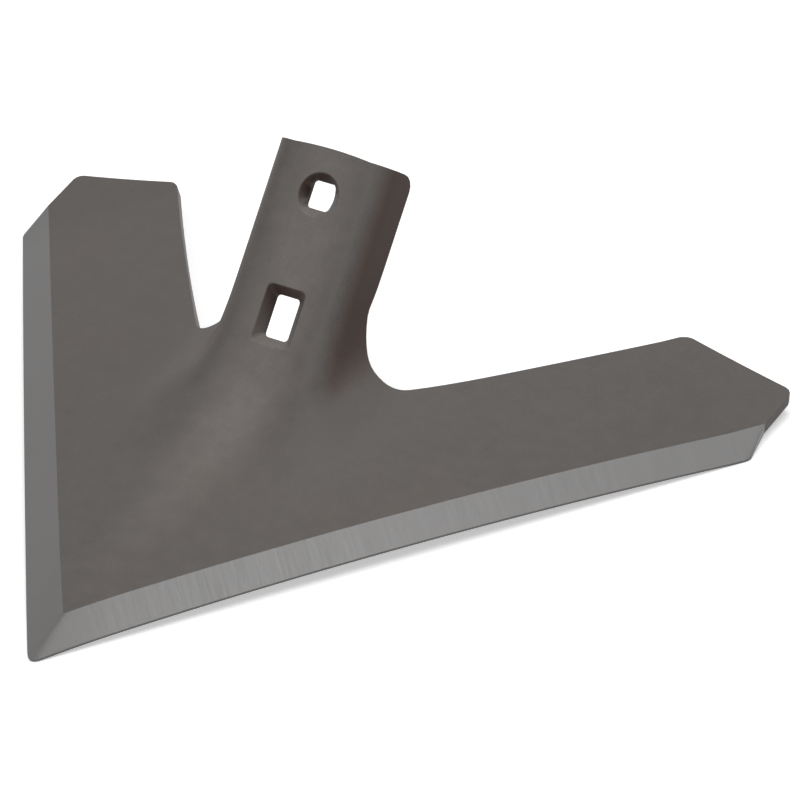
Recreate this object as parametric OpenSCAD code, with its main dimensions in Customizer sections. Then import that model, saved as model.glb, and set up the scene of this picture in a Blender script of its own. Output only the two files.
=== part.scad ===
// Chisel plough sweep: one formed plate with two raked wings and a bolted stem.
// Millimetres, +Z up, nose towards -Y, standing on the nose and both wing tips.

/* [Wings] */
// Width over the wing tips
span = 406; // [360:2:440]
// Angle between each cutting edge and the line of travel
sweep_angle = 35; // [33:0.5:37]
// Plate thickness
plate_t = 6.35; // [5.5:0.05:7.5]
// Wing tilt beside the nose, degrees
root_tilt = 9.4; // [7:0.1:12]
// Wing tilt at the tip, degrees
tip_tilt = 12.4; // [10:0.1:15]
// Height of the cutting edge midway between nose and tip
edge_rise = 5.5; // [2:0.5:8]
// Half width of the rounded ridge between the wings
ridge_w = 26; // [20:1:30]
// Length of each tip cut, measured along the line of travel
tip_cut = 53.3; // [44:0.5:60]
// Length of each rear end edge
end_edge = 58.8; // [50:0.2:70]
// How far each end edge leans forward at the tip
end_lean = 2.3; // [0:0.1:4]
// Hollow across each wing
wing_dish = 1.2; // [0:0.1:2]

/* [Cutting edge] */
// Ground bevel width at the nose
nose_bevel = 17.4; // [13:0.2:20]
// Ground bevel width at the tip
tip_bevel = 14.2; // [11:0.2:17]
// Thickness left at the cutting edge
lip_t = 1.2; // [0.8:0.1:2]
// How far the forged lip is drawn out past the tip cut
lip_flare = 3.5; // [0:0.5:6]
// Half width of the rounded nose
nose_w = 4; // [3:0.5:7]

/* [Stem] */
// Angle of the stem to the ground
stem_angle = 49.1; // [47:0.1:51]
// Distance from the nose back to the lower bolt, on the shank face
seat_back = 219.9; // [214:0.5:226]
// Height of the lower bolt on the shank face
seat_up = 59.4; // [57:0.2:62]
// Length of stem above the lower bolt
stem_rise = 82.4; // [78:0.5:90]
// Half width of the flat shank face
seat_half = 21; // [18:0.5:23]
// Inside radius where each flank bends back
bend_r = 5.6; // [4:0.2:8]
// Angle through which each flank is bent back
flank_angle = 80; // [70:1:84]
// Straight depth of each flank behind its bend
flank_leg = 10.8; // [7:0.2:14]
// Drop of the crowned top edge at the bends
crown_drop = 1; // [0:0.1:2]
// Corner radius at the top of each flank
top_r = 7; // [4:0.5:9]
// Softness of the bend from the wings up into the shank face
blend = 26; // [22:0.5:28]
// Extra softness where each flank runs out into its wing
flank_blend = 36; // [26:1:44]
// Where the extra softness starts, in half widths of the shank face from the centreline
soft_from = 0.2; // [0:0.05:0.5]
// Where the extra softness is full, in half widths of the shank face from the centreline
soft_to = 2.3; // [1.8:0.1:2.8]

/* [Bolts] */
// Side of the square bolt neck holes
bolt_sq = 13.5; // [11:0.25:14]
// Corner radius of the square holes
sq_r = 2; // [0.5:0.25:3]
// Distance between the bolts
bolt_gap = 60; // [54:0.5:64]
// Extra length of the lower hole for adjustment
slot_extra = 7.4; // [0:0.2:9]
// Countersink diameter on the front face
sink_d = 21.4; // [19:0.2:24]
// Countersink depth
sink_depth = 3.6; // [2.5:0.1:4.5]

/* [Notches] */
// Distance of each notch bottom from the centreline
notch_x = 46; // [43:0.5:49]
// Distance of each notch bottom from the nose
notch_y = 227.4; // [225:0.2:230]
// Radius on the wing side of each notch
notch_r = 15.5; // [12:0.5:19]
// Rise of the notch from its bottom to the flank
notch_rise = 14; // [10:0.5:17]
// How far each end of the hollow trailing edge turns from its mean line, degrees
trail_bow = 2.2; // [0:0.2:4]
// Radius of the two rear corners of each wing
rear_r = 7; // [4:0.5:10]
// Radius of the corners at each wing tip
tip_r = 4; // [2:0.5:7]

/* [Hidden] */
tip_x = span / 2;
edge_len = tip_x / sin(sweep_angle);
tip_y = tip_x / tan(sweep_angle);
rear_y = tip_y + tip_cut;
corner_x = tip_x - end_edge;
wing_w = rear_y * sin(sweep_angle) - corner_x * cos(sweep_angle);
bend_end = bend_r * flank_angle * PI / 180;
flank_u = seat_half + bend_end + flank_leg;

// Step for measuring slopes, rounding of coordinates, halvings of each height search
slope_step = 0.01;
snap = 100000;
search_steps = 40;

// Counts of columns and rows in the formed sheet
nose_cols = 2;
flat_cols = 6;
bend_cols = 6;
leg_cols = 3;
notch_cols = 9;
arc_cols = 5;
trail_cols = 6;
corner_cols = 3;
end_cols = 2;
plain_rows = 3;
crease_rows = 20;
stem_rows = 3;
crease_from = 0.5;
flare_power = 3;

// Share of the flank's straight depth that its top corner may take
corner_share = 0.8;

// Smoothness of round cuts and their overlap past the faces
round_fn = 48;
clear = 1;
steel_colour = [0.36, 0.34, 0.33];

// Rounded absolute value, and the lesser of two clearances with a rounded change-over
function soft_abs(a, w) = abs(a) >= w ? abs(a) : (a * a + w * w) / (2 * w);
function soft_min(a, b, k) = min(a, b) - pow(max(k - abs(a - b), 0), 3) / (6 * k * k);
function snapped(a) = round(a * snap) / snap;

// Position along a cutting edge and square off it, in plan
function along(x, y) = x * sin(sweep_angle) + y * cos(sweep_angle);
function inboard(x, y) = y * sin(sweep_angle) - x * cos(sweep_angle);
function share(x, y) = along(x, y) / edge_len;

// Underside of the wings, with the nose brought down to the ground
function tilt(x, y) = root_tilt + (tip_tilt - root_tilt) * share(x, y);
function arch(s) = 4 * edge_rise * max(s * (1 - s), 0);
function dish(d) = 4 * wing_dish * max(d * (wing_w - d), 0) / pow(wing_w, 2);
function raw_wing(x, y) =
    let (d = inboard(x, y))
    tan(tilt(x, y)) * d + arch(share(x, y)) - dish(d);
nose_y = nose_w / 2 / tan(sweep_angle);
nose_dip = raw_wing(soft_abs(0, ridge_w), nose_y);
function low_wing(x, y) = raw_wing(x, y) - nose_dip * (1 - share(x, y));
function wing_z(x, y) = low_wing(soft_abs(x, ridge_w), y);

// Coordinates in the frame of the shank face
function seat_v(y, z) = (y - seat_back) * cos(stem_angle) + (z - seat_up) * sin(stem_angle);
function seat_w(y, z) = (z - seat_up) * cos(stem_angle) - (y - seat_back) * sin(stem_angle);

// Clearance above the bent underside of the stem
function bend_gap(dx, dw) =
    atan2(dx, dw) < flank_angle
        ? norm([dx, dw]) - bend_r
        : dx * sin(flank_angle) + dw * cos(flank_angle) - bend_r;
function stem_gap(x, w) = abs(x) <= seat_half ? w : bend_gap(abs(x) - seat_half, w + bend_r);
function wing_gap(x, y, z) = (z - wing_z(x, y)) * cos(tip_tilt);
function eased(a) = let (c = min(max(a, 0), 1)) c * c * (3 - 2 * c);
function softness(x) =
    blend + flank_blend * eased((abs(x) / seat_half - soft_from) / (soft_to - soft_from));
function sheet_gap(p) =
    soft_min(stem_gap(p.x, seat_w(p.y, p.z)), wing_gap(p.x, p.y, p.z), softness(p.x));

// Underside height found by halving, then its outward normal
function halve(x, y, low, high, n) =
    let (mid = (low + high) / 2)
    n == 0 ? mid
    : sheet_gap([x, y, mid]) < 0 ? halve(x, y, mid, high, n - 1)
    : halve(x, y, low, mid, n - 1);
function under(x, y) = [x, y, halve(x, y, wing_z(x, y) - plate_t, rear_y, search_steps)];
function slope(p, q) = sheet_gap(p + q * slope_step) - sheet_gap(p - q * slope_step);
function normal(p) =
    let (g = [slope(p, [1, 0, 0]), slope(p, [0, 1, 0]), slope(p, [0, 0, 1])])
    g / norm(g);

// Plan position and depth across the stem at developed distance u
function bend_a(u) = (u - seat_half) / bend_r * 180 / PI;
function stem_x(u) =
    u <= seat_half ? u
    : u <= seat_half + bend_end ? seat_half + bend_r * sin(bend_a(u))
    : seat_half + bend_r * sin(flank_angle) + (u - seat_half - bend_end) * cos(flank_angle);
function stem_drop(u) =
    u <= seat_half ? 0
    : u <= seat_half + bend_end ? bend_r * (1 - cos(bend_a(u)))
    : bend_r * (1 - cos(flank_angle)) + (u - seat_half - bend_end) * sin(flank_angle);
flank_x = stem_x(flank_u);

// Top edge of the stem, crowned and rounded at the flank corners
corner_r = min(top_r, corner_share * flank_leg);
top_u = flank_u - corner_r;
function crowned(u) = stem_rise - crown_drop * pow(u / seat_half, 2);
function top_v(u) =
    u <= seat_half ? crowned(u)
    : u <= top_u ? crowned(seat_half)
    : crowned(seat_half) - corner_r + sqrt(max(pow(corner_r, 2) - pow(u - top_u, 2), 0));
function top_y(u) = seat_back + top_v(u) * cos(stem_angle) + stem_drop(u) * sin(stem_angle);

// Rear outline: notch, trailing edge, rear corner, end edge, tip corner
notch_c = [notch_x, notch_y + notch_r];
flank_y = notch_y + notch_rise;
corner_gap = [corner_x, rear_y] - notch_c;
trail_a = atan2(corner_gap.x, corner_gap.y) - asin(notch_r / norm(corner_gap));
trail_in = trail_a + trail_bow;
trail_out = trail_a - trail_bow;
trail_from = notch_c + notch_r * [cos(trail_in), -sin(trail_in)];
rear_c = [corner_x + rear_r * (1 - sin(trail_out)) / cos(trail_out), rear_y - rear_r];
rear_from = rear_c + rear_r * [-cos(trail_out), sin(trail_out)];
trail_run = rear_from.x - trail_from.x;
trail_rise = rear_from.y - trail_from.y;
bow_in = trail_run / tan(trail_in) - trail_rise;
bow_out = trail_rise - trail_run / tan(trail_out);
function trail_y(x) =
    let (t = (x - trail_from.x) / trail_run)
    trail_from.y + trail_rise * t + t * (1 - t) * (bow_in * (1 - t) + bow_out * t);
function lean(x) = end_lean * max(x - rear_c.x, 0) / end_edge;
function arc_y(c, r, x) = c.y + sqrt(max(r * r - pow(x - c.x, 2), 0));
function notch_part(x) = sqrt(max(1 - pow((notch_x - x) / (notch_x - flank_x), 2), 0));
function back_y(x) =
    x <= flank_x ? flank_y
    : x <= notch_x ? flank_y - notch_rise * notch_part(x)
    : x <= trail_from.x ? 2 * notch_c.y - arc_y(notch_c, notch_r, x)
    : x <= rear_from.x ? trail_y(x)
    : x <= rear_c.x ? arc_y(rear_c, rear_r, x)
    : arc_y([tip_x - tip_r, rear_y - tip_r], tip_r, max(x, tip_x - tip_r)) - lean(x);

// Front outline: rounded nose, straight edge, rounded corner at the tip
edge_c = [tip_x - tip_r, (tip_r + (tip_x - tip_r) * cos(sweep_angle)) / sin(sweep_angle)];
edge_to = edge_c.x + tip_r * cos(sweep_angle);
function front_y(x) =
    x <= edge_to ? soft_abs(x, nose_w) / tan(sweep_angle) : 2 * edge_c.y - arc_y(edge_c, tip_r, x);
function bevel_w(x) = nose_bevel + (tip_bevel - nose_bevel) * x / tip_x;
function bevel_y(x) = x / tan(sweep_angle) + bevel_w(x) / sin(sweep_angle);
function flare(x) = lip_flare * pow(max(x - corner_x, 0) / end_edge, flare_power);

// Developed distances of the stem columns, then plan positions of the outer ones
stem_us = concat(
    [for (i = [0:nose_cols]) nose_w * i / nose_cols],
    [for (i = [1:flat_cols]) nose_w + (seat_half - nose_w) * i / flat_cols],
    [for (i = [1:bend_cols]) seat_half + bend_end * i / bend_cols],
    [for (i = [0:leg_cols]) top_u + corner_r * sin(90 * i / leg_cols)]
);
function stretch(a, b, n) = [for (i = [1:n]) a + (b - a) * i / n];
function rounding(a, b, n) = [for (i = [1:n]) a + (b - a) * sin(90 * i / n)];
function easing(a, b, n) = [for (i = [1:n]) b - (b - a) * cos(90 * i / n)];
outer_xs = concat(
    easing(flank_x, notch_x, notch_cols),
    stretch(notch_x, trail_from.x, arc_cols),
    stretch(trail_from.x, rear_from.x, trail_cols),
    stretch(rear_from.x, rear_c.x, corner_cols),
    stretch(rear_c.x, tip_x - tip_r, end_cols),
    rounding(tip_x - tip_r, tip_x, corner_cols)
);
half_xs = concat([for (u = stem_us) stem_x(u)], outer_xs);
sides = len(half_xs) - 1;
stem_side = len(stem_us) - 1;
cols = 2 * sides + 1;
wing_rows = 2 + plain_rows + crease_rows;
all_rows = wing_rows + stem_rows;

// Plan position of each grid point; column zero is the centreline
function part_of(j) =
    j <= plain_rows ? crease_from * j / plain_rows
    : crease_from + (1 - crease_from) * (j - plain_rows) / crease_rows;
function row_y(i, j) =
    let (x = half_xs[i])
    j == 0 ? front_y(x)
    : j < wing_rows ? bevel_y(x) + part_of(j - 1) * (back_y(x) - bevel_y(x))
    : flank_y + (top_y(stem_us[i]) - flank_y) * (j - wing_rows + 1) / stem_rows;
function plan(i, j) =
    let (x = half_xs[abs(i)], out = j == 0 ? flare(x) : 0)
    [sign(i) * (x + out), row_y(abs(i), j) + out / tan(sweep_angle)];
function depth_at(j) = j == 0 ? lip_t : plate_t;

// Grid points of the underside, ordered by wing columns and then stem columns
grid = concat(
    [for (i = [-sides:sides], j = [0:wing_rows - 1]) [i, j]],
    [for (i = [-stem_side:stem_side], j = [wing_rows:all_rows - 1]) [i, j]]
);
function at(i, j) =
    j < wing_rows
        ? (i + sides) * wing_rows + j
        : cols * wing_rows + (i + stem_side) * stem_rows + j - wing_rows;

function to_seat(p) = [snapped(p.x), snapped(seat_v(p.y, p.z)), snapped(seat_w(p.y, p.z))];

// Closed outline of the sheet, counter-clockwise from above
rim = concat(
    [for (i = [-sides:sides]) at(i, 0)],
    [for (j = [1:wing_rows - 1]) at(sides, j)],
    [for (i = [sides - 1:-1:stem_side]) at(i, wing_rows - 1)],
    [for (j = [wing_rows:all_rows - 1]) at(stem_side, j)],
    [for (i = [stem_side - 1:-1:-stem_side]) at(i, all_rows - 1)],
    [for (j = [all_rows - 2:-1:wing_rows - 1]) at(-stem_side, j)],
    [for (i = [-stem_side - 1:-1:-sides]) at(i, wing_rows - 1)],
    [for (j = [wing_rows - 2:-1:1]) at(-sides, j)]
);

// Two triangles of one grid cell; the diagonals follow the bends and mirror on the left wing
notch_side = stem_side + notch_cols;
function inner(i, j) = j > plain_rows && abs(i + 0.5) < notch_side;
function cell(i, j) =
    (i < 0) == inner(i, j)
        ? [[at(i, j), at(i, j + 1), at(i + 1, j)], [at(i + 1, j), at(i, j + 1), at(i + 1, j + 1)]]
        : [[at(i, j), at(i, j + 1), at(i + 1, j + 1)], [at(i, j), at(i + 1, j + 1), at(i + 1, j)]];
cells = concat(
    [for (i = [-sides:sides - 1], j = [0:wing_rows - 2], t = cell(i, j)) t],
    [for (i = [-stem_side:stem_side - 1], j = [wing_rows - 1:all_rows - 2], t = cell(i, j)) t]
);

// The formed plate, drawn in the frame of the shank face
module formed_plate() {
    lows = [for (g = grid) let (p = plan(g.x, g.y)) under(p.x, p.y)];
    highs = [for (k = [0:len(grid) - 1]) lows[k] + depth_at(grid[k].y) * normal(lows[k])];
    n = len(grid);
    m = len(rim);
    polyhedron(
        points = [for (p = concat(lows, highs)) to_seat(p)],
        faces = concat(
            [for (t = cells) [t[2], t[1], t[0]]],
            [for (t = cells) t + [n, n, n]],
            [for (k = [0:m - 1]) [rim[k] + n, rim[(k + 1) % m] + n, rim[(k + 1) % m]]],
            [for (k = [0:m - 1]) [rim[k] + n, rim[(k + 1) % m], rim[k]]]
        )
    );
}

// Square neck hole with rounded corners, longer by extra along the stem
module neck_outline(extra) {
    long = bolt_sq + extra;
    square([bolt_sq - 2 * sq_r, long], center = true);
    square([bolt_sq, long - 2 * sq_r], center = true);
    for (x = [-1, 1], y = [-1, 1])
        translate([x * (bolt_sq / 2 - sq_r), y * (long / 2 - sq_r)])
            circle(r = sq_r);
}

// Seat for the bolt head: a round cone, or a tapered oblong over an adjusting slot
module head_seat(extra) {
    top = sink_depth + clear;
    wider = (sink_d - bolt_sq) / 2 * top / sink_depth;
    long = bolt_sq + extra;
    if (extra > 0)
        linear_extrude(height = top, scale = [1 + 2 * wider / bolt_sq, 1 + 2 * wider / long])
            neck_outline(extra, $fn = round_fn);
    else
        cylinder(h = top, r1 = bolt_sq / 2, r2 = bolt_sq / 2 + wider, $fn = round_fn);
}

module bolt_hole(up, extra) {
    translate([0, up, -clear])
        linear_extrude(height = plate_t + 2 * clear)
            neck_outline(extra, $fn = round_fn);
    translate([0, up, plate_t - sink_depth])
        head_seat(extra);
}

module sweep() {
    color(steel_colour)
        translate([0, seat_back - (nose_y + rear_y) / 2, seat_up])
            rotate([stem_angle, 0, 0])
                difference() {
                    formed_plate();
                    bolt_hole(0, slot_extra);
                    bolt_hole(bolt_gap, 0);
                }
}

sweep();
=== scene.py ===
import math

import bmesh
import bpy
from mathutils import Matrix, Vector


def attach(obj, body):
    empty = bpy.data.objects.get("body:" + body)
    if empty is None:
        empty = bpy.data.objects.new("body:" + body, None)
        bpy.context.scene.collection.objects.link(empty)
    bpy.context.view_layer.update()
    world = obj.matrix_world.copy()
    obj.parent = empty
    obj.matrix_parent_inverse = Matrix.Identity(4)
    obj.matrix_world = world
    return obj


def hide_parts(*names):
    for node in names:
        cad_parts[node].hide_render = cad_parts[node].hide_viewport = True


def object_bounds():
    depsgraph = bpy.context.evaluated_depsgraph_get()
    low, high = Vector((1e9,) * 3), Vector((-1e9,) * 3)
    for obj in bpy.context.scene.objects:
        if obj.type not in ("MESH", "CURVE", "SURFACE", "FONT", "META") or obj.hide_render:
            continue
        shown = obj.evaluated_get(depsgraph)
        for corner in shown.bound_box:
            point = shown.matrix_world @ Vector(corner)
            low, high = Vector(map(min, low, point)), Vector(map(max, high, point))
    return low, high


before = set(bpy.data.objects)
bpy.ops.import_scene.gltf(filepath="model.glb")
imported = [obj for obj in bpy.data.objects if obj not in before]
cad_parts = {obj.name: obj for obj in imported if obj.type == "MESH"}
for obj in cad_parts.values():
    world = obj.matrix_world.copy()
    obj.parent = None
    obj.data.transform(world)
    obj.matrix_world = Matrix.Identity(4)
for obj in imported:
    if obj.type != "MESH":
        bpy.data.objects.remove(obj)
cadLow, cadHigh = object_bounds()
print("frame loaded:", ", ".join(sorted(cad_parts)))

millimetre = 0.001  # points are worked out in millimetres, then the mesh is scaled

# Millimetres and degrees. All but the last are the same values as in the solid's own source.
shape = {
    "span": 406,  # over the tip cuts
    "sweepAngle": 35,  # cutting edge to centreline
    "plate": 6.35,
    "rootTilt": 9.4,  # tilt of a wing at its root and at its tip
    "tipTilt": 12.4,
    "edgeRise": 5.5,  # height of the arch under each cutting edge
    "ridge": 26,  # half width of the rounded ridge
    "tipCut": 53.3,
    "endEdge": 58.8,
    "endLean": 2.3,
    "dish": 1.2,
    "noseBevel": 17.4,
    "tipBevel": 14.2,
    "lip": 1.2,
    "lipFlare": 3.5,
    "noseHalf": 4,
    "stemAngle": 49.1,
    "seatBack": 219.9,  # lower bolt on the shank face, back from the nose and up
    "seatUp": 59.4,
    "stemRise": 82.4,
    "seatHalf": 21,
    "bendRadius": 5.6,
    "flankAngle": 80,
    "flankLeg": 10.8,
    "crownDrop": 1,
    "topRadius": 7,
    "blend": 26,  # softness of the change from stem to wing
    "flankBlend": 36,  # added to it towards the flanks
    "softFrom": 0.2,  # where that starts and ends, in half seat widths
    "softTo": 2.3,
    "notchX": 46,
    "notchY": 227.4,
    "notchRadius": 15.5,
    "notchRise": 14,
    "trailBow": 2.2,  # degrees that each end of the trailing edge turns
    "rearRadius": 7,
    "tipRadius": 4,
    "edgeRound": 0.5,  # worn rounding of the sheared rim
}
# Faces of the grid along each part of the outline.
counts = {
    "nose": 3,
    "flat": 12,
    "bend": 10,
    "leg": 4,
    "notch": 10,
    "arc": 8,
    "trail": 14,
    "corner": 5,
    "end": 8,
    "tip": 3,
    "plain": 8,
    "crease": 46,
    "stem": 13,
}
bevelShares = (0, 0.08, 0.5, 1)  # rows across the ground bevel, close together at the edge
creaseFrom = 0.55  # share of the wing's depth where the rows become close
sharpEdge = math.radians(50)  # steeper edges are rounded and stay crisp
facingDown = -0.5  # a face whose normal's Z is lower belongs to the underside
skinPlace, groundPlace, sinkPlace = 0, 1, 2  # the piece's material slots

sweepTurn = math.radians(shape["sweepAngle"])
sweepSin, sweepCos, sweepTan = math.sin(sweepTurn), math.cos(sweepTurn), math.tan(sweepTurn)
tipX = shape["span"] / 2
edgeLength = tipX / sweepSin
rearY = tipX / sweepTan + shape["tipCut"]
cornerX = tipX - shape["endEdge"]
wingDepth = rearY * sweepSin - cornerX * sweepCos
noseY = shape["noseHalf"] / 2 / sweepTan
stemTurn = math.radians(shape["stemAngle"])
stemSin, stemCos = math.sin(stemTurn), math.cos(stemTurn)
flankTurn = math.radians(shape["flankAngle"])
flankSin, flankCos = math.sin(flankTurn), math.cos(flankTurn)
middleY = (noseY + rearY) / 2


def clampedShare(value, start, end):
    return min(max((value - start) / (end - start), 0), 1)


# The wings: one tilted, dished face on each side of a rounded ridge.
def softAbs(value, width):
    return abs(value) if abs(value) >= width else (value * value + width * width) / (2 * width)


def edgeShare(x, y):
    return (x * sweepSin + y * sweepCos) / edgeLength


def rawWing(x, y):
    inboard = y * sweepSin - x * sweepCos
    share = edgeShare(x, y)
    tilt = math.radians(shape["rootTilt"] + (shape["tipTilt"] - shape["rootTilt"]) * share)
    arch = 4 * shape["edgeRise"] * max(share * (1 - share), 0)
    dish = 4 * shape["dish"] * max(inboard * (wingDepth - inboard), 0) / wingDepth ** 2
    return math.tan(tilt) * inboard + arch - dish


noseDip = rawWing(softAbs(0, shape["ridge"]), noseY)


def wingHeight(x, y):
    across = softAbs(x, shape["ridge"])
    return rawWing(across, y) - noseDip * (1 - edgeShare(across, y))


# The stem: a flat seat between two bent flanks, melting into the wings.
def stemGap(x, y, z):
    across = abs(x) - shape["seatHalf"]
    behind = (z - shape["seatUp"]) * stemCos - (y - shape["seatBack"]) * stemSin
    below = behind + shape["bendRadius"]
    if across <= 0:
        return behind
    if math.atan2(across, below) < flankTurn:
        return math.hypot(across, below) - shape["bendRadius"]
    return across * flankSin + below * flankCos - shape["bendRadius"]


def softness(x):
    share = clampedShare(abs(x) / shape["seatHalf"], shape["softFrom"], shape["softTo"])
    return shape["blend"] + shape["flankBlend"] * share * share * (3 - 2 * share)


# The smaller of the two gaps, with a rounded change-over where they are alike.
def sheetGap(x, y, z):
    stem = stemGap(x, y, z)
    wing = (z - wingHeight(x, y)) * math.cos(math.radians(shape["tipTilt"]))
    soft = softness(x)
    return min(stem, wing) - max(soft - abs(stem - wing), 0) ** 3 / (6 * soft * soft)


# Halving finds the height where that gap closes.
def underside(x, y):
    low, high = wingHeight(x, y) - 1, shape["seatUp"] + shape["stemRise"]
    for _ in range(30):
        middle = (low + high) / 2
        if sheetGap(x, y, middle) < 0:
            low = middle
        else:
            high = middle
    return Vector((x, y, low))


def sheetNormal(point, step=0.01):
    x, y, z = point
    return Vector((
        sheetGap(x + step, y, z) - sheetGap(x - step, y, z),
        sheetGap(x, y + step, z) - sheetGap(x, y - step, z),
        sheetGap(x, y, z + step) - sheetGap(x, y, z - step),
    )).normalized()


# Across the stem, u runs along the bent plate from the centreline.
bendLength = shape["bendRadius"] * flankTurn
flankU = shape["seatHalf"] + bendLength + shape["flankLeg"]
topRadius = min(shape["topRadius"], 0.8 * shape["flankLeg"])
topU = flankU - topRadius


def stemPlace(u):
    if u <= shape["seatHalf"]:
        return u, 0
    turn = min((u - shape["seatHalf"]) / shape["bendRadius"], flankTurn)
    leg = max(u - shape["seatHalf"] - bendLength, 0)
    across = shape["seatHalf"] + shape["bendRadius"] * math.sin(turn) + leg * flankCos
    drop = shape["bendRadius"] * (1 - math.cos(turn)) + leg * flankSin
    return across, drop


def stemTop(u):
    rise = shape["stemRise"] - shape["crownDrop"] * min(u / shape["seatHalf"], 1) ** 2
    if u > topU:
        rise += math.sqrt(max(topRadius ** 2 - (u - topU) ** 2, 0)) - topRadius
    return shape["seatBack"] + rise * stemCos + stemPlace(u)[1] * stemSin


# The outline in plan: notch, hollow trailing edge, end edge and rounded corners.
flankX = stemPlace(flankU)[0]
flankY = shape["notchY"] + shape["notchRise"]
notchCentre = Vector((shape["notchX"], shape["notchY"] + shape["notchRadius"]))
cornerGap = Vector((cornerX, rearY)) - notchCentre
trailTurn = math.atan2(cornerGap.x, cornerGap.y) - math.asin(shape["notchRadius"] / cornerGap.length)
trailIn = trailTurn + math.radians(shape["trailBow"])
trailOut = trailTurn - math.radians(shape["trailBow"])
trailStart = notchCentre + shape["notchRadius"] * Vector((math.cos(trailIn), -math.sin(trailIn)))
rearIn = shape["rearRadius"] * (1 - math.sin(trailOut)) / math.cos(trailOut)
rearCentre = Vector((cornerX + rearIn, rearY - shape["rearRadius"]))
rearStart = rearCentre + shape["rearRadius"] * Vector((-math.cos(trailOut), math.sin(trailOut)))
tipInner = tipX - shape["tipRadius"]
edgeCentre = Vector((tipInner, (shape["tipRadius"] + tipInner * sweepCos) / sweepSin))


def arcHeight(radius, across):
    return math.sqrt(max(radius * radius - across * across, 0))


def trailY(x):
    run, rise = rearStart - trailStart
    share = (x - trailStart.x) / run
    bowIn = run / math.tan(trailIn) - rise
    bowOut = rise - run / math.tan(trailOut)
    return trailStart.y + rise * share + share * (1 - share) * (bowIn * (1 - share) + bowOut * share)


def backY(x):
    if x <= flankX:
        return flankY
    if x <= notchCentre.x:
        share = (notchCentre.x - x) / (notchCentre.x - flankX)
        return flankY - shape["notchRise"] * arcHeight(1, share)
    if x <= trailStart.x:
        return notchCentre.y - arcHeight(shape["notchRadius"], x - notchCentre.x)
    if x <= rearStart.x:
        return trailY(x)
    if x <= rearCentre.x:
        return rearCentre.y + arcHeight(shape["rearRadius"], x - rearCentre.x)
    lean = shape["endLean"] * (x - rearCentre.x) / shape["endEdge"]
    return rearY - shape["tipRadius"] + arcHeight(shape["tipRadius"], max(x - tipInner, 0)) - lean


def frontY(x):
    if x <= tipInner + shape["tipRadius"] * sweepCos:
        return softAbs(x, shape["noseHalf"]) / sweepTan
    return edgeCentre.y - arcHeight(shape["tipRadius"], x - edgeCentre.x)


def bevelY(x):
    width = shape["noseBevel"] + (shape["tipBevel"] - shape["noseBevel"]) * x / tipX
    return x / sweepTan + width / sweepSin


# Columns out from the centreline, and rows back from the cutting edge.
def evenly(start, end, count):
    return [start + (end - start) * step / count for step in range(1, count + 1)]


def closingIn(start, end, count):
    return [start + (end - start) * math.sin(math.pi / 2 * step / count) for step in range(1, count + 1)]


def openingOut(start, end, count):
    return [end - (end - start) * math.cos(math.pi / 2 * step / count) for step in range(1, count + 1)]


stemUs = (
    [0]
    + evenly(0, shape["noseHalf"], counts["nose"])
    + evenly(shape["noseHalf"], shape["seatHalf"], counts["flat"])
    + evenly(shape["seatHalf"], shape["seatHalf"] + bendLength, counts["bend"])
    + [topU]
    + closingIn(topU, flankU, counts["leg"])
)
columnXs = (
    [stemPlace(u)[0] for u in stemUs]
    + openingOut(flankX, notchCentre.x, counts["notch"])
    + evenly(notchCentre.x, trailStart.x, counts["arc"])
    + evenly(trailStart.x, rearStart.x, counts["trail"])
    + evenly(rearStart.x, rearCentre.x, counts["corner"])
    + evenly(rearCentre.x, tipInner, counts["end"])
    + closingIn(tipInner, tipX, counts["tip"])
)
wingSide, stemSide = len(columnXs) - 1, len(stemUs) - 1
bevelRow = len(bevelShares) - 1
wingTop = bevelRow + counts["plain"] + counts["crease"]
stemRow = wingTop + counts["stem"]


def rowY(column, row):
    x = columnXs[column]
    if row < bevelRow:
        return frontY(x) + (bevelY(x) - frontY(x)) * bevelShares[row]
    row -= bevelRow
    if row <= counts["plain"]:
        share = creaseFrom * row / counts["plain"]
    else:
        share = creaseFrom + (1 - creaseFrom) * (row - counts["plain"]) / counts["crease"]
    if share <= 1:
        return bevelY(x) + share * (backY(x) - bevelY(x))
    up = (row - counts["plain"] - counts["crease"]) / counts["stem"]
    return flankY + (stemTop(stemUs[column]) - flankY) * up


def thinning(row):
    return 1 - bevelShares[row] if row < bevelRow else 0


def sheetPoint(column, row):
    x, y = columnXs[abs(column)], rowY(abs(column), row)
    out = shape["lipFlare"] * (max(x - cornerX, 0) / shape["endEdge"]) ** 3 * thinning(row)
    return underside(math.copysign(x + out, column), y + out / sweepTan)


def openEdges(form):
    return sum(len(edge.link_faces) != 2 for edge in form.edges)


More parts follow.
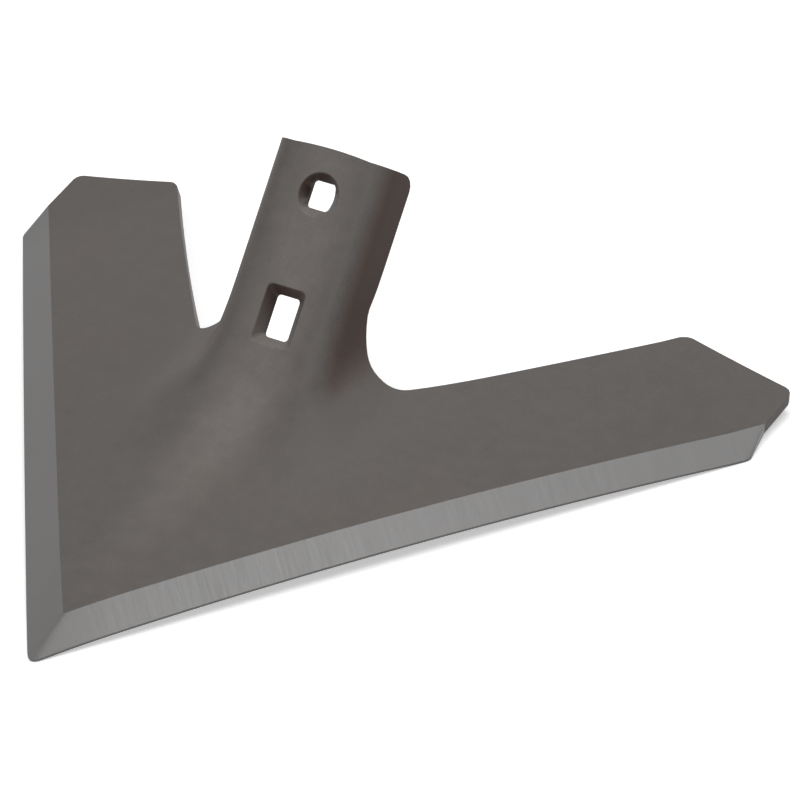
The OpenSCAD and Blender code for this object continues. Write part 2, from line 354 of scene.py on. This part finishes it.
def formedSheet():
    form = bmesh.new()
    columnOf = form.verts.layers.int.new("column")
    rowOf = form.verts.layers.int.new("row")
    laidOut = Matrix.Translation((0, stemRow / 2, 0)) @ Matrix.Diagonal((wingSide, stemRow / 2, 1, 1))
    bmesh.ops.create_grid(form, x_segments=2 * wingSide, y_segments=stemRow, size=1, matrix=laidOut)
    for vert in form.verts:
        vert[columnOf], vert[rowOf] = round(vert.co.x), round(vert.co.y)
    beside = [vert for vert in form.verts if vert[rowOf] > wingTop and abs(vert[columnOf]) > stemSide]
    bmesh.ops.delete(form, geom=beside, context="VERTS")
    upper = {}
    for vert in form.verts:
        column, row = vert[columnOf], vert[rowOf]
        point = sheetPoint(column, row)
        depth = shape["plate"] - (shape["plate"] - shape["lip"]) * thinning(row)
        upper[column, row] = point + depth * sheetNormal(point)
        vert.co = point
    print("surface placed:", len(upper), "points")

    raised = bmesh.ops.extrude_face_region(form, geom=form.faces[:])["geom"]
    for vert in raised:
        if isinstance(vert, bmesh.types.BMVert):
            vert.co = upper[vert[columnOf], vert[rowOf]]
    bmesh.ops.translate(form, verts=form.verts, vec=(0, -middleY, 0))
    bmesh.ops.scale(form, verts=form.verts, vec=(millimetre, millimetre, millimetre))
    bmesh.ops.recalc_face_normals(form, faces=form.faces)
    # The front rows are ground, the lip too, but not the underside
    for face in form.faces:
        ground = max(vert[rowOf] for vert in face.verts) <= bevelRow and face.normal.z > facingDown
        face.material_index = groundPlace if ground else skinPlace

    rim = [edge for edge in form.edges if edge.calc_face_angle(0) > sharpEdge]
    bmesh.ops.bevel(
        form, geom=rim, offset=shape["edgeRound"] * millimetre, offset_type="OFFSET",
        segments=2, profile=0.5, affect="EDGES", clamp_overlap=True, material=-1,
    )
    print("plate formed:", len(form.faces), "faces,", openEdges(form), "open edges")
    return form


# Holes for the two plough bolts, cut in the frame of the shank face.
boltShape = {
    "neck": 13.5,
    "neckRadius": 2,
    "gap": 60,
    "slotExtra": 7.4,
    "sink": 21.4,
    "sinkDepth": 3.6,
    "edgeRound": 0.4,  # worn mouth of each hole
    "roundMiddle": 0.29,  # where that rounding's middle lies, as a share of it
    "roundOut": 0.6,  # how far the seat's own mouth has opened at the face
    "clear": 1,  # how far the cutters stand past the faces
    "backFlare": 2.4,  # how they open out there
    "frontFlare": 1.7,
    "roundSides": 64,
}
seatFrame = (
    Matrix.Translation((0, (shape["seatBack"] - middleY) * millimetre, shape["seatUp"] * millimetre))
    @ Matrix.Rotation(stemTurn, 4, "X")
    @ Matrix.Scale(millimetre, 4)
)


def roundedSquare(half, radius):
    outline = bmesh.new()
    sized = Matrix.Diagonal((half.x, half.y, 1, 1))
    bmesh.ops.create_grid(outline, x_segments=1, y_segments=1, size=1, matrix=sized)
    bmesh.ops.bevel(
        outline, geom=outline.verts[:], offset=radius, offset_type="OFFSET", segments=6,
        profile=0.5, affect="VERTICES", clamp_overlap=True, material=-1,
    )
    return outline


def steppedCutter(name, cutter, half, up, levels):
    cutter.faces.ensure_lookup_table()
    face, grown = cutter.faces[0], 0
    for step, (height, out) in enumerate(levels):
        if step:
            raised = bmesh.ops.extrude_face_region(cutter, geom=[face])["geom"]
            if step > 1:
                bmesh.ops.delete(cutter, geom=[face], context="FACES_ONLY")
            face = next(part for part in raised if isinstance(part, bmesh.types.BMFace))
        growth = ((half.x + out) / (half.x + grown), (half.y + out) / (half.y + grown), 1)
        bmesh.ops.scale(cutter, verts=face.verts, vec=growth)
        for vert in face.verts:
            vert.co.z = height
        grown = out
    for face in cutter.faces:
        face.material_index = sinkPlace
    bmesh.ops.transform(cutter, matrix=seatFrame @ Matrix.Translation((0, up, 0)), verts=cutter.verts)
    bmesh.ops.recalc_face_normals(cutter, faces=cutter.faces)
    return meshPiece(name, cutter)


def meshPiece(name, form):
    for face in form.faces:
        face.smooth = True
    mesh = bpy.data.meshes.new(name)
    form.to_mesh(mesh)
    form.free()
    piece = bpy.data.objects.new(name, mesh)
    bpy.context.scene.collection.objects.link(piece)
    return piece


def boltCutters(bolt):
    widen, edge, clear = (bolt["sink"] - bolt["neck"]) / 2, bolt["edgeRound"], bolt["clear"]
    sinkFrom, top = shape["plate"] - bolt["sinkDepth"], shape["plate"]
    # Each level: height over the shank face, how far the wall stands out
    middle = edge * bolt["roundMiddle"]
    back = [(-clear, edge + bolt["backFlare"] * clear), (middle, middle), (edge, 0)]
    sink = [(sinkFrom, 0), (top - edge, widen * (1 - edge / bolt["sinkDepth"]))]
    sink += [(top + clear, widen + bolt["roundOut"] * edge + bolt["frontFlare"] * clear)]
    square = Vector((bolt["neck"] / 2, bolt["neck"] / 2))
    oblong = Vector((square.x, square.y + bolt["slotExtra"] / 2))
    cone = bmesh.new()
    bmesh.ops.create_circle(cone, cap_ends=True, radius=square.x, segments=bolt["roundSides"])
    return [
        steppedCutter("lower_slot", roundedSquare(oblong, bolt["neckRadius"]), oblong, 0, back + sink),
        steppedCutter(
            "upper_neck", roundedSquare(square, bolt["neckRadius"]), square, bolt["gap"],
            back + [(top + clear, 0)],
        ),
        steppedCutter("upper_sink", cone, square, bolt["gap"], sink),
    ]


# Painted shade: dark brown in the upper left of each bolt sink, whose walls there lie in shade,
# and a thin darker brown tint on the stem's flanks. Each pair is where it starts and where it is full.
paintedShadeTintAndWear = {
    "sinkAcross": -0.6,
    "sinkUp": 0.8,
    "sinkFacing": (-0.6, 0.7),
    "flankTurned": (0.55, 0.9),
    "flankHeight": (0.03, 0.05),
    "flankTint": 0.5,
    "edgeBend": (1.03, 1.08),
}


# Painted shade: how far a bolt sink's wall is darkened, most in its upper left, which lies in shade.
def sinkPaintedShade(place, bolt):
    across, up = place.x, place.y - bolt["gap"] * (place.y > bolt["gap"] / 2)
    facing = (paintedShadeTintAndWear["sinkUp"] * up + paintedShadeTintAndWear["sinkAcross"] * across) / math.hypot(across, up)
    return clampedShare(facing, *paintedShadeTintAndWear["sinkFacing"])


# A darker brown tint on the stem's flanks, where they face sideways above the wings.
def flankTint(vert):
    turned = clampedShare(abs(vert.normal.x), *paintedShadeTintAndWear["flankTurned"])
    raised = clampedShare(vert.co.z, *paintedShadeTintAndWear["flankHeight"])
    return paintedShadeTintAndWear["flankTint"] * min(turned, raised)


def cutPlate(piece, bolt):
    cutters = boltCutters(bolt)
    for cutter in cutters:
        cut = piece.modifiers.new(cutter.name, "BOOLEAN")
        cut.operation, cut.solver, cut.object = "DIFFERENCE", "EXACT", cutter
    bpy.context.view_layer.update()
    drawn = piece.evaluated_get(bpy.context.evaluated_depsgraph_get())
    mesh = bpy.data.meshes.new_from_object(drawn)
    piece.modifiers.clear()
    piece.data = mesh
    for cutter in cutters:
        bpy.data.objects.remove(cutter)
    form = bmesh.new()
    form.from_mesh(mesh)
    # Bare wear lies along the middle of each rounded edge, outside the bolt sinks
    wearOf = form.verts.layers.float.new("wear")
    tintAndPaintedShadeOf = form.verts.layers.float.new("tintAndPaintedShade")
    toSeat = seatFrame.inverted()
    for vert in form.verts:
        # Painted shade in the upper left of each bolt sink, and a darker brown tint on the flanks
        sunk = [face.material_index == sinkPlace for face in vert.link_faces]
        if all(sunk):
            vert[tintAndPaintedShadeOf] = sinkPaintedShade(toSeat @ vert.co, bolt)
        elif not any(sunk):
            vert[tintAndPaintedShadeOf] = flankTint(vert)
            vert[wearOf] = clampedShare(vert.calc_shell_factor(), *paintedShadeTintAndWear["edgeBend"])
    # The ground bevel meets the forged skin in a crisp line
    for edge in form.edges:
        finishes = {face.material_index for face in edge.link_faces}
        edge.smooth = len(finishes) == 1 and edge.calc_face_angle(0) < sharpEdge
    print("holes cut:", len(form.faces), "faces,", openEdges(form), "open edges")
    form.to_mesh(mesh)
    form.free()
    for spare in ("row", "column"):
        mesh.attributes.remove(mesh.attributes[spare])
    piece.modifiers.new("even_normals", "WEIGHTED_NORMAL").keep_sharp = True


# Finishes: dark forged skin over the plate, bare ground steel on the cutting bevel.
steelFinish = {
    "skin": (0.105, 0.0965, 0.092),
    "skinWarm": (0.114, 0.102, 0.094),  # slow patches of a warmer tone
    "paintedLightPlace": (0, 0.045, 0.06),  # painted light: a brighter pool of colour over the ridge and the front of the stem
    "paintedLightReach": (0.03, 0.2, 0.2),
    "paintedLightFade": (0.1, 1),  # shares of that reach where it starts to fade and ends
    "paintedLightShare": 1.5,
    # a darker brown tint for the stem's flanks
    "tintAndPaintedShade": (0.085, 0.045, 0.032),
    "sinkPaintedShade": (0.05, 0.033, 0.028),  # painted shade: darker brown on the shaded upper left walls of the bolt sinks
    "skinRough": 0.47,
    "skinShine": 0.15,
    "smoother": 0.04,  # how far the patches leave these roughnesses
    "rougher": 0.08,
    "ground": (0.108, 0.105, 0.103),
    "noseShare": 1.1,  # the bevel's colour is lighter at the nose than at the tips
    "tipShare": 0.94,
    "groundRough": 0.32,
    "groundShine": 0.5,
    "bare": (0.22, 0.215, 0.21),
    "barePatches": (0.15, 0.8),  # how bare the edges are, from patch to patch
    "bareNoise": (0.4, 0.65),
    "cloudScale": 16,
    "mottleScale": 110,
    "mottleDepth": 0.08,
    "grainScale": 1500,
    "grainDepth": 0.07,
    "pitScale": 420,
    "pitWall": (0.08, 0.3),  # from the bottom of a pit out to its rim
    "reliefShare": 0.25,
    "reliefHeight": 0.0002,
    "wearScale": 160,
    "streakScale": (900, 35, 35),
    "streakLean": 0.12,
    "streakDepth": 0.06,
    "streakShare": 0.12,
    "streakHeight": 0.0001,
    "dullScale": 70,
    "dullShare": 0.25,
}


def addNode(tree, kind, label, values=(), **settings):
    node = tree.nodes.new("ShaderNode" + kind)
    node.label = label
    for name, value in settings.items():
        setattr(node, name, value)
    for socket, value in dict(values).items():
        if isinstance(value, bpy.types.NodeSocket):
            tree.links.new(value, node.inputs[socket])
        else:
            node.inputs[socket].default_value = value
    return node


def calculate(tree, label, operation, *values):
    return addNode(tree, "Math", label, dict(enumerate(values)), operation=operation).outputs[0]


def noise(tree, label, place, scale, detail, roughness=0.5):
    values = {"Vector": place, "Scale": scale, "Detail": detail, "Roughness": roughness}
    return addNode(tree, "TexNoise", label, values).outputs["Fac"]


def between(tree, label, value, low, high, fromLow=0.3, fromHigh=0.7, easing="LINEAR"):
    values = {"Value": value, "From Min": fromLow, "From Max": fromHigh, "To Min": low, "To Max": high}
    return addNode(tree, "MapRange", label, values, interpolation_type=easing).outputs["Result"]


def blendColour(tree, label, share, first, second, kind="MIX"):
    values = {0: share, 6: first, 7: second}
    return addNode(tree, "Mix", label, values, data_type="RGBA", blend_type=kind).outputs[2]


def unevenLight(tree, pattern, depth):
    return between(tree, "uneven light", pattern, 1 - depth, 1 + depth)


def lightened(tree, label, colour, light):
    return blendColour(tree, label, 1, colour, light, "MULTIPLY")


def opaque(colour):
    return (*colour, 1)


def startFinish(name, shine):
    material = bpy.data.materials.new(name)
    material.use_nodes = True
    tree = material.node_tree
    shader = tree.nodes["Principled BSDF"]
    shader.inputs["Specular IOR Level"].default_value = shine
    return material, tree, shader, tree.nodes.new("ShaderNodeTexCoord").outputs["Object"]


def relief(tree, shader, height, share, depth):
    bump = addNode(tree, "Bump", "relief", {"Height": height, "Strength": share, "Distance": depth})
    tree.links.new(bump.outputs["Normal"], shader.inputs["Normal"])


def roughen(tree, shader, pattern, middle, finish):
    low, high = middle - finish["smoother"], middle + finish["rougher"]
    tree.links.new(between(tree, "rough patches", pattern, low, high), shader.inputs["Roughness"])


def wornEdges(tree, place, finish, colour):
    wear = addNode(tree, "Attribute", "edge wear", attribute_name="wear").outputs["Fac"]
    uneven = noise(tree, "wear noise", place, finish["wearScale"], 3)
    patches = between(tree, "worn patches", uneven, *finish["barePatches"], *finish["bareNoise"])
    worn = calculate(tree, "wear share", "MULTIPLY", wear, patches)
    return blendColour(tree, "bare edges", worn, colour, opaque(finish["bare"]))


# Painted light: brightens the colour in a pool over the ridge and the front of the stem, as if a lamp
# lit it.
def paintedLightPool(tree, place, finish):
    values = {"Vector": place, "Location": finish["paintedLightPlace"], "Scale": finish["paintedLightReach"]}
    squeezed = addNode(tree, "Mapping", "squeezed", values, vector_type="TEXTURE").outputs[0]
    away = addNode(tree, "VectorMath", "how far", {0: squeezed}, operation="LENGTH").outputs["Value"]
    return between(
        tree, "painted light pool", away, finish["paintedLightShare"], 1, *finish["paintedLightFade"], "SMOOTHSTEP",
    )


def forgedSkin(name, finish, tintAndPaintedShade):
    material, tree, shader, place = startFinish(name, finish["skinShine"])
    cloud = noise(tree, "slow tone", place, finish["cloudScale"], 3)
    mottle = noise(tree, "mottle", place, finish["mottleScale"], 5, 0.6)
    grain = noise(tree, "grain", place, finish["grainScale"], 2)
    cells = addNode(tree, "TexVoronoi", "scale pits", {"Vector": place, "Scale": finish["pitScale"]})
    pits = cells.outputs["Distance"]
    warmth = between(tree, "tone share", cloud, 0, 1)
    colour = blendColour(tree, "tone", warmth, opaque(finish["skin"]), opaque(finish["skinWarm"]))
    colour = lightened(tree, "mottle", colour, unevenLight(tree, mottle, finish["mottleDepth"]))
    colour = lightened(tree, "grain", colour, unevenLight(tree, grain, finish["grainDepth"]))
    # Painted light: the brighter pool over the ridge and the front of the stem.
    colour = lightened(tree, "painted light", colour, paintedLightPool(tree, place, finish))
    # Painted shade in the bolt sinks and a darker brown tint on the flanks, from a vertex attribute
    tintAndPaintedShadeShare = addNode(tree, "Attribute", "tint and painted shade share", attribute_name="tintAndPaintedShade").outputs["Fac"]
    colour = blendColour(tree, "tintAndPaintedShade", tintAndPaintedShadeShare, colour, opaque(tintAndPaintedShade))
    tree.links.new(wornEdges(tree, place, finish, colour), shader.inputs["Base Color"])
    roughen(tree, shader, mottle, finish["skinRough"], finish)
    hollows = between(tree, "pit depth", pits, 0, 1, *finish["pitWall"])
    height = calculate(tree, "skin height", "MULTIPLY_ADD", hollows, grain, mottle)
    relief(tree, shader, height, finish["reliefShare"], finish["reliefHeight"])
    return material


def groundSteel(name, finish):
    material, tree, shader, place = startFinish(name, finish["groundShine"])
    # Both bevels share one pattern: X is folded at the centreline, then turned along the edge
    parts = addNode(tree, "SeparateXYZ", "parts", {0: place})
    folded = calculate(tree, "fold", "ABSOLUTE", parts.outputs[0])
    values = {0: folded, 1: parts.outputs[1], 2: parts.outputs[2]}
    joined = addNode(tree, "CombineXYZ", "folded", values).outputs[0]
    turned = (0, 0, sweepTurn - math.pi / 2 + finish["streakLean"])
    along = addNode(tree, "Mapping", "along the edge", {"Vector": joined, "Rotation": turned}).outputs[0]
    values = {"Vector": along, "Scale": finish["streakScale"]}
    drawn = addNode(tree, "Mapping", "across streaks", values).outputs[0]
    streak = noise(tree, "grinding streaks", drawn, 1, 4, 0.6)
    cloud = noise(tree, "uneven grinding", place, finish["dullScale"], 3)
    dull = between(tree, "patch share", cloud, 0, finish["dullShare"])
    colour = blendColour(tree, "dull patches", dull, opaque(finish["ground"]), opaque(finish["skin"]))
    noseLightening = between(
        tree, "lighter at the nose", parts.outputs[1],
        finish["noseShare"], finish["tipShare"], cadLow[1], cadHigh[1],
    )
    colour = lightened(tree, "streaks", colour, unevenLight(tree, streak, finish["streakDepth"]))
    colour = lightened(tree, "lighter towards the nose", colour, noseLightening)
    tree.links.new(wornEdges(tree, place, finish, colour), shader.inputs["Base Color"])
    roughen(tree, shader, streak, finish["groundRough"], finish)
    relief(tree, shader, streak, finish["streakShare"], finish["streakHeight"])
    return material


sweepPiece = meshPiece("forged_sweep", formedSheet())
sweepPiece.data.materials.append(forgedSkin("forged_skin", steelFinish, steelFinish["tintAndPaintedShade"]))
sweepPiece.data.materials.append(groundSteel("ground_bevel", steelFinish))
# Painted shade: the upper left walls of the bolt sinks are coloured darker brown.
sweepPiece.data.materials.append(forgedSkin("sink_painted_shade", steelFinish, steelFinish["sinkPaintedShade"]))
cutPlate(sweepPiece, boltShape)
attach(sweepPiece, "root")
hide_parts("sweep")
print("finishes made")

# The photograph's own view: azimuth from the nose side, places in metres.
cameraView = {
    "target": (0.0, 0.026965, 0.05),
    "azimuth": 35.519,
    "elevation": 33.465,
    "roll": -4.209,
    "distance": 3.588,
    "lens": 345.5,  # millimetres, like the sensor's width
    "sensor": 36,
    "across": 0.06432,  # from the target to the middle of the picture
    "down": 0.02038,
    "farthest": 50,  # well past the floor
}


def awayFrom(azimuth, elevation):
    az, el = math.radians(azimuth), math.radians(elevation)
    return Vector((math.sin(az) * math.cos(el), -math.cos(az) * math.cos(el), math.sin(el)))


def photoCamera(view):
    away = awayFrom(view["azimuth"], view["elevation"])
    side = Vector((0, 0, 1)).cross(away).normalized()
    top = away.cross(side)
    roll = math.radians(view["roll"])
    right = side * math.cos(roll) + top * math.sin(roll)
    upward = top * math.cos(roll) - side * math.sin(roll)
    target = Vector(view["target"])
    centre = target + right * view["across"] - upward * view["down"]
    place = target + away * view["distance"]
    back = (place - centre).normalized()
    right = upward.cross(back).normalized()
    upward = back.cross(right)
    camera = bpy.data.objects.new("camera", bpy.data.cameras.new("camera"))
    camera.data.sensor_width = view["sensor"]
    camera.data.lens = view["lens"]
    camera.data.clip_end = view["farthest"]
    camera.matrix_world = Matrix.Translation(place) @ Matrix((right, upward, back)).transposed().to_4x4()
    bpy.context.scene.collection.objects.link(camera)
    bpy.context.scene.camera = camera


photoCamera(cameraView)

# Square soft boxes round the object: azimuth from the nose side, elevation, watts.
studioLight = {
    "middle": (0, 0.03, 0.04),
    "reach": 1.8,
    "size": 0.9,
    "boxes": {
        "front": (0, 52, 13),
        "over_back": (180, 72, 11.5),
        "right_back": (135, 52, 5.5),
        "over_right_back": (135, 72, 4.5),
        "low_front": (0, 12, 2),
        "left_front": (315, 52, 2),
    },
    "floor": (0.8, 0.8, 0.8),
    "floorRough": 0.9,
    "floorGap": 0.0002,
    "floorSize": 3,
    "floorLift": 0.5,  # white added for the camera, so the lit floor is white and the shadow stays
    "clearFrom": 0.4,  # further out than this the floor grows into plain white
    "clearTo": 0.9,
}


def softBoxes(studio):
    for name, (azimuth, elevation, power) in studio["boxes"].items():
        away = awayFrom(azimuth, elevation)
        lamp = bpy.data.objects.new(name, bpy.data.lights.new(name, "AREA"))
        lamp.data.shape = "SQUARE"
        lamp.data.size = studio["size"]
        lamp.data.energy = power
        lamp.location = Vector(studio["middle"]) + away * studio["reach"]
        lamp.rotation_euler = away.to_track_quat("Z", "Y").to_euler()
        bpy.context.scene.collection.objects.link(lamp)


def seenDirectly(tree):
    ray = tree.nodes.new("ShaderNodeLightPath")
    gloss, through = ray.outputs["Is Glossy Ray"], ray.outputs["Is Transmission Ray"]
    seen = calculate(tree, "camera or gloss", "MAXIMUM", ray.outputs["Is Camera Ray"], gloss)
    return calculate(tree, "or through", "MAXIMUM", seen, through)


def whiteFloor(studio):
    below = cadLow[2] - studio["floorGap"]
    bpy.ops.mesh.primitive_plane_add(size=studio["floorSize"], location=(0, 0, below))
    floor = bpy.context.object
    floor.name = "floor"
    material = bpy.data.materials.new("pale_floor")
    material.use_nodes = True
    tree = material.node_tree
    shader = tree.nodes["Principled BSDF"]
    shader.inputs["Base Color"].default_value = opaque(studio["floor"])
    shader.inputs["Roughness"].default_value = studio["floorRough"]
    white = tree.nodes.new("ShaderNodeEmission")
    place = tree.nodes.new("ShaderNodeTexCoord").outputs["Object"]
    away = addNode(tree, "VectorMath", "from the sweep", {0: place}, operation="LENGTH").outputs["Value"]
    strength = between(
        tree, "white share", away, studio["floorLift"], 1, studio["clearFrom"], studio["clearTo"],
    )
    lift = calculate(tree, "white lift", "MULTIPLY", seenDirectly(tree), strength)
    both = tree.nodes.new("ShaderNodeAddShader")
    tree.links.new(lift, white.inputs["Strength"])
    tree.links.new(shader.outputs[0], both.inputs[0])
    tree.links.new(white.outputs[0], both.inputs[1])
    tree.links.new(both.outputs[0], tree.nodes["Material Output"].inputs[0])
    floor.data.materials.append(material)


def whiteWorld():
    world = bpy.data.worlds.new("studio")
    bpy.context.scene.world = world
    world.use_nodes = True
    tree = world.node_tree
    dark = tree.nodes["Background"]
    dark.inputs["Strength"].default_value = 0
    white = tree.nodes.new("ShaderNodeBackground")
    white.inputs["Color"].default_value = (1, 1, 1, 1)
    mix = tree.nodes.new("ShaderNodeMixShader")
    tree.links.new(seenDirectly(tree), mix.inputs[0])
    tree.links.new(dark.outputs[0], mix.inputs[1])
    tree.links.new(white.outputs[0], mix.inputs[2])
    tree.links.new(mix.outputs[0], tree.nodes["World Output"].inputs[0])


softBoxes(studioLight)
whiteFloor(studioLight)
whiteWorld()
bpy.context.scene.view_settings.view_transform = "Standard"
print("studio lit")
